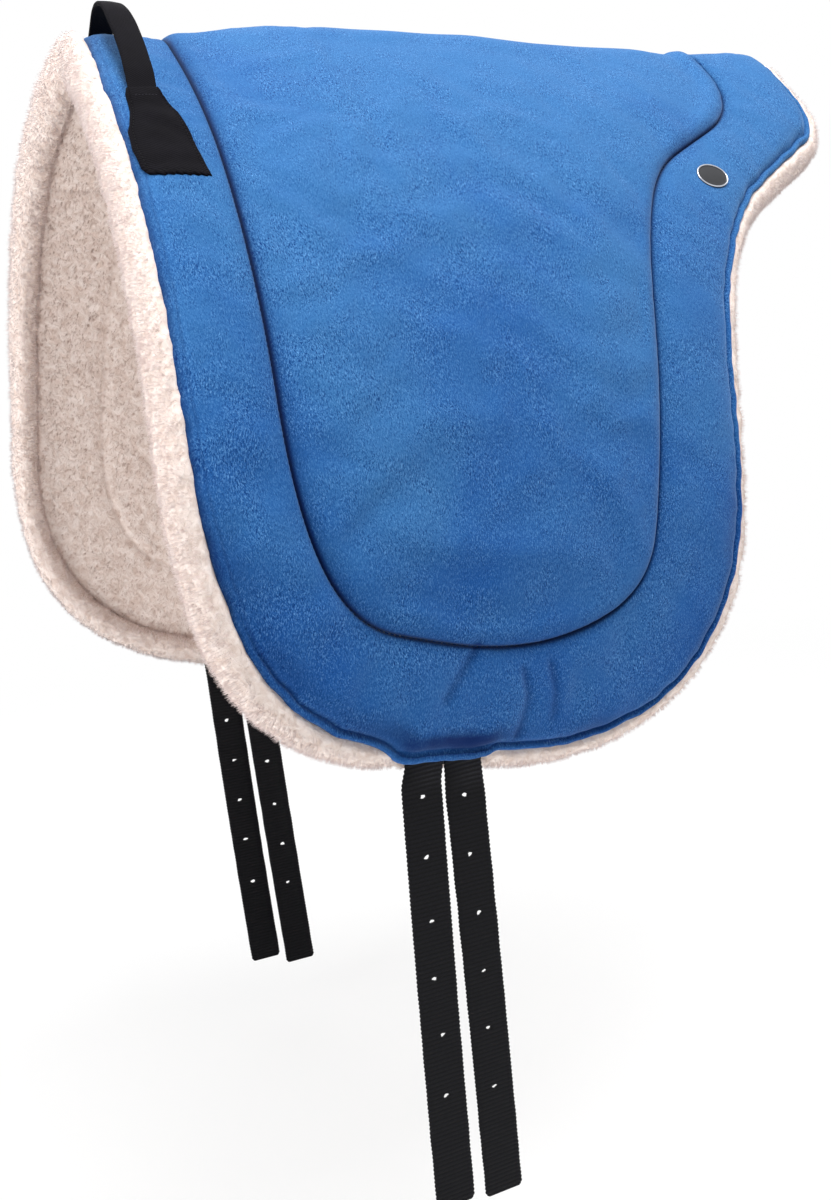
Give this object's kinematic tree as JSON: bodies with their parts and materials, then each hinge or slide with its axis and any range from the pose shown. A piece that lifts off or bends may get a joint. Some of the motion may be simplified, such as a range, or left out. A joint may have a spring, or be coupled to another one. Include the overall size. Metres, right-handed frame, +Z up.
{
  "type": "bareback pad",
  "caption": "Arched bareback riding pad with quilted velour seat and border, fleece roll and lining, webbing handle over the withers and punched webbing billets below each flap.",
  "frame": {"origin": "on the lining's face under the spine, halfway along the cover", "axes": "+X to the tail, +Y to the horse's right, +Z up; the pad hangs over an arch along X"},
  "size_m": [0.7308, 0.5818, 0.9454],
  "materials": {
    "velour": "short brushed velour, royal blue, lighter where the nap is laid flat",
    "fleece": "cream faux lambswool, a dense woolly pile about 5 to 8 mm long",
    "foam": "soft open-cell padding foam",
    "webbing": "black woven nylon webbing with fine cross ribs",
    "twill": "black twill patch with a stitched edge",
    "badge": "plain dark oval badge, softly glossy"
  },
  "bodies": {
    "pad": {"seat_cover": "velour", "border_cover": "velour", "seat_foam": "foam", "border_foam": "foam", "base_foam": "foam", "girth_web_front": "webbing", "girth_web_rear": "webbing", "lining_spine_panel": "fleece", "lining_side_left": "fleece", "lining_side_right": "fleece", "spine_cushion_left": "foam", "spine_cushion_right": "foam", "edge_roll_fleece": "fleece", "edge_roll_core": "foam", "handle_tab_left": "twill", "handle_tab_right": "twill", "badge": "badge"},
    "handle": {"handle_strap": "webbing"},
    "billet_left_front": {"billet_left_front": "webbing"},
    "billet_left_rear": {"billet_left_rear": "webbing"},
    "billet_right_front": {"billet_right_front": "webbing"},
    "billet_right_rear": {"billet_right_rear": "webbing"}
  },
  "joints": [
    {"name": "handle_flop", "type": "hinge", "parent": "pad", "child": "handle", "pos_m": [-0.29431, 0, -0.0449], "axis": [0, 1, 0], "range_deg": [-15, 15], "stiffness_Nm_per_rad": 0.05},
    {"name": "billet_left_front_swing", "type": "hinge", "parent": "pad", "child": "billet_left_front", "pos_m": [-0.17997, -0.25495, -0.53223], "axis": [-0.9926, -0.1212, 0], "range_deg": [-15, 95]},
    {"name": "billet_left_rear_swing", "type": "hinge", "parent": "pad", "child": "billet_left_rear", "pos_m": [-0.14583, -0.24905, -0.54056], "axis": [-0.9927, -0.1204, 0], "range_deg": [-15, 95]},
    {"name": "billet_right_front_swing", "type": "hinge", "parent": "pad", "child": "billet_right_front", "pos_m": [-0.16908, 0.25306, -0.53495], "axis": [0.9927, -0.121, 0], "range_deg": [-15, 95]},
    {"name": "billet_right_rear_swing", "type": "hinge", "parent": "pad", "child": "billet_right_rear", "pos_m": [-0.1348, 0.24716, -0.54325], "axis": [0.9928, -0.1202, 0], "range_deg": [-15, 95]}
  ]
}
